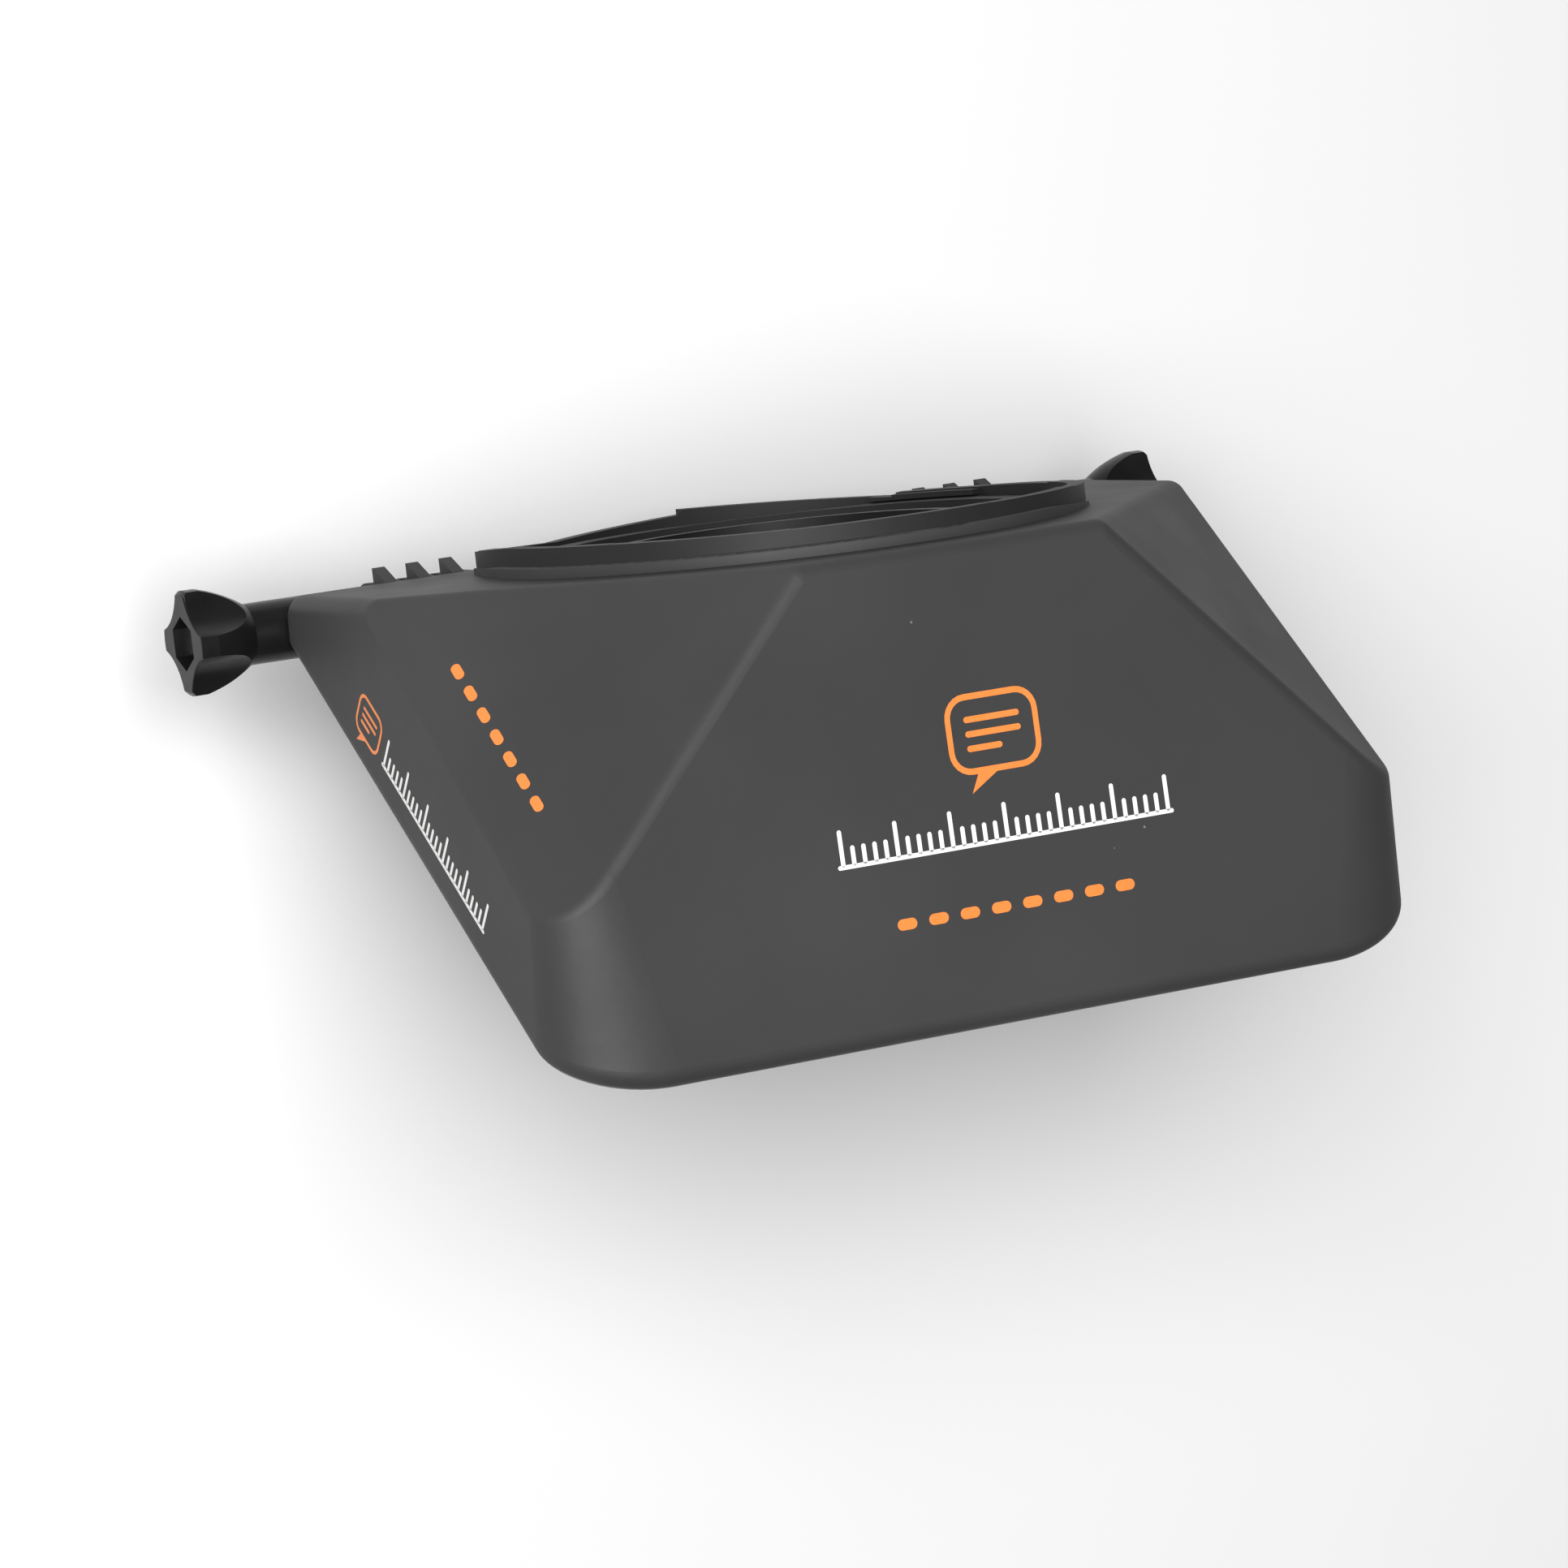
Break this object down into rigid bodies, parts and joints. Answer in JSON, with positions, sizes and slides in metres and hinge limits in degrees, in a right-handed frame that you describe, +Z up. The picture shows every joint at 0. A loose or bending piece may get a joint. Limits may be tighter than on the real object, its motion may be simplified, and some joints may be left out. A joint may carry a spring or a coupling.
{
  "type": "teleprompter",
  "caption": "Compact lens-mounted teleprompter: faceted hood with slanted beam-splitter glass, twist-lock lens ring, and a folding device tray on star thumbscrews with a sprung jaw",
  "frame": {"origin": "centre of the lens opening, on the rear face of the hood", "axes": "+Z up, +Y from the camera towards the person on screen, +X to the operator's right"},
  "size_m": [0.1872, 0.0874, 0.1179],
  "materials": {
    "hood_plastic": "fine satin texture, charcoal",
    "bezel_plastic": "fine matte, black",
    "beam_glass": "clear with a part-silvered front",
    "seal_rubber": "matte foam rubber",
    "flock": "black flock",
    "collar_plastic": "satin black",
    "ring_plastic": "satin black",
    "ring_metal": "black anodised",
    "knob_plastic": "glossy black",
    "steel": "zinc plated",
    "black_steel": "blackened screws",
    "tray_plastic": "fine satin texture, charcoal",
    "pad_rubber": "ribbed grip rubber",
    "bush_plastic": "natural nylon"
  },
  "bodies": {
    "hood": {"hood_shell": "hood_plastic", "mouth_bezel": "bezel_plastic", "beam_splitter_glass": "beam_glass", "glass_gasket": "seal_rubber", "flock_liner": "flock", "lens_collar": "collar_plastic", "collar_screws": "black_steel", "hinge_nuts": "steel", "hinge_washers": "steel"},
    "lens_ring": {"adapter_ring": "ring_plastic", "step_ring": "ring_metal"},
    "tray": {"device_tray": "tray_plastic", "tray_cover": "tray_plastic", "cover_screws": "black_steel", "tray_end_cap": "tray_plastic", "end_cap_screws": "black_steel", "guide_rods": "steel", "return_springs": "steel", "hinge_bushes": "bush_plastic", "deck_pads": "pad_rubber", "rear_jaw_pad": "pad_rubber"},
    "jaw": {"sliding_jaw": "tray_plastic", "jaw_bushes": "bush_plastic", "sliding_jaw_pad": "pad_rubber"},
    "left_thumbscrew": {"left_knob": "knob_plastic", "left_bolt": "steel"},
    "right_thumbscrew": {"right_knob": "knob_plastic", "right_bolt": "steel"}
  },
  "joints": [
    {"name": "ring_twist", "type": "hinge", "parent": "hood", "child": "lens_ring", "pos_m": [0, 0, 0], "axis": [0, 1, 0], "range_deg": [0, 60]},
    {"name": "tray_fold", "type": "hinge", "parent": "hood", "child": "tray", "pos_m": [0, 0.0059, -0.0392], "axis": [-1, 0, 0], "range_deg": [0, 62]},
    {"name": "jaw_slide", "type": "slide", "parent": "tray", "child": "jaw", "axis": [0, 0.5933, 0.805], "range_m": [0, 0.028], "stiffness_N_per_m": 150, "springref_m": -0.012, "deforming": ["return_springs"]},
    {"name": "left_screw_turn", "type": "hinge", "parent": "hood", "child": "left_thumbscrew", "pos_m": [-0.0776, 0.0059, -0.0392], "axis": [-1, 0, 0], "range_deg": [0, 360]},
    {"name": "right_screw_turn", "type": "hinge", "parent": "hood", "child": "right_thumbscrew", "pos_m": [0.0776, 0.0059, -0.0392], "axis": [1, 0, 0], "range_deg": [0, 360]}
  ]
}
